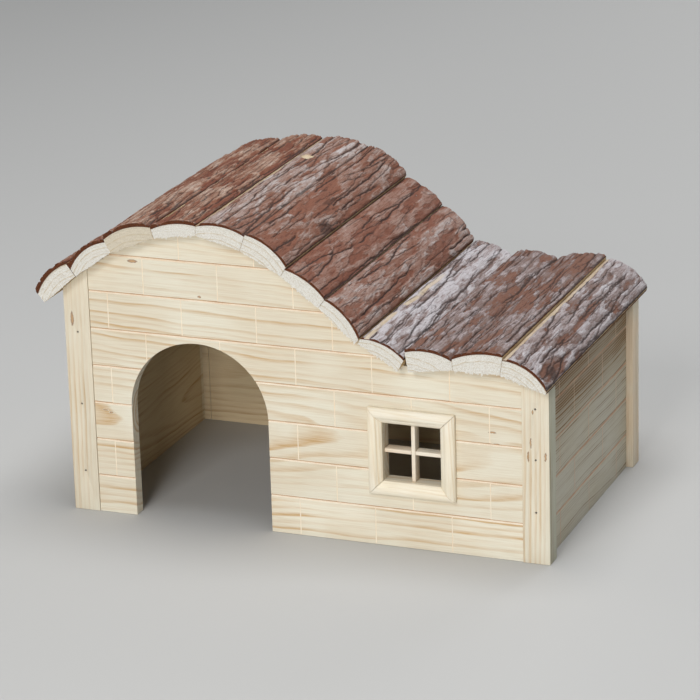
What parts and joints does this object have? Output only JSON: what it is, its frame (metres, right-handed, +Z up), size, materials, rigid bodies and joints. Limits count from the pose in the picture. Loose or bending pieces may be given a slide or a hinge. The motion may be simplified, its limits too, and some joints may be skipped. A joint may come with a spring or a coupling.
{
  "type": "rabbit hutch",
  "caption": "Open-bottomed timber pet house with an arched doorway, a small four-pane window and a wavy roof of half-round slats with bark.",
  "frame": {"origin": "centre of the footprint's box, on the ground", "axes": "+Z up, the doorway and the window face -Y, the doorway is on the -X side and the low end of the roof on the +X side"},
  "size_m": [0.5064, 0.3146, 0.3037],
  "materials": {
    "pine_panel": "bare planed pine, scored with shallow lines",
    "pine_side_panel": "bare planed pine, scored with shallow lines",
    "pine_post": "bare planed pine",
    "pine_moulding": "bare moulded pine",
    "slat_wood": "rough sawn",
    "bark": "natural bark",
    "brad_steel": "dull wire"
  },
  "bodies": {
    "root": {"front_wall": "pine_panel", "back_wall": "pine_panel", "left_wall": "pine_side_panel", "right_wall": "pine_side_panel", "front_left_post": "pine_post", "front_left_brad_1": "brad_steel", "front_left_brad_2": "brad_steel", "front_left_brad_3": "brad_steel", "front_right_post": "pine_post", "front_right_brad_1": "brad_steel", "front_right_brad_2": "brad_steel", "front_right_brad_3": "brad_steel", "back_left_post": "pine_post", "back_left_brad_1": "brad_steel", "back_left_brad_2": "brad_steel", "back_left_brad_3": "brad_steel", "back_right_post": "pine_post", "back_right_brad_1": "brad_steel", "back_right_brad_2": "brad_steel", "back_right_brad_3": "brad_steel", "window_trim_top": "pine_moulding", "window_trim_right": "pine_moulding", "window_trim_bottom": "pine_moulding", "window_trim_left": "pine_moulding", "window_bar_upright": "pine_moulding", "window_bar_level": "pine_moulding", "roof_slat_01": "slat_wood", "roof_slat_02": "slat_wood", "roof_slat_03": "slat_wood", "roof_slat_04": "slat_wood", "roof_slat_05": "slat_wood", "roof_slat_06": "slat_wood", "roof_slat_07": "slat_wood", "roof_slat_08": "slat_wood", "roof_slat_09": "slat_wood", "roof_slat_10": "slat_wood", "roof_slat_11": "slat_wood", "roof_slat_12": "slat_wood", "roof_bark_01": "bark", "roof_bark_02": "bark", "roof_bark_03": "bark", "roof_bark_04": "bark", "roof_bark_05": "bark", "roof_bark_06": "bark", "roof_bark_07": "bark", "roof_bark_08": "bark", "roof_bark_09": "bark", "roof_bark_10": "bark", "roof_bark_11": "bark", "roof_bark_12": "bark"}
  },
  "joints": []
}
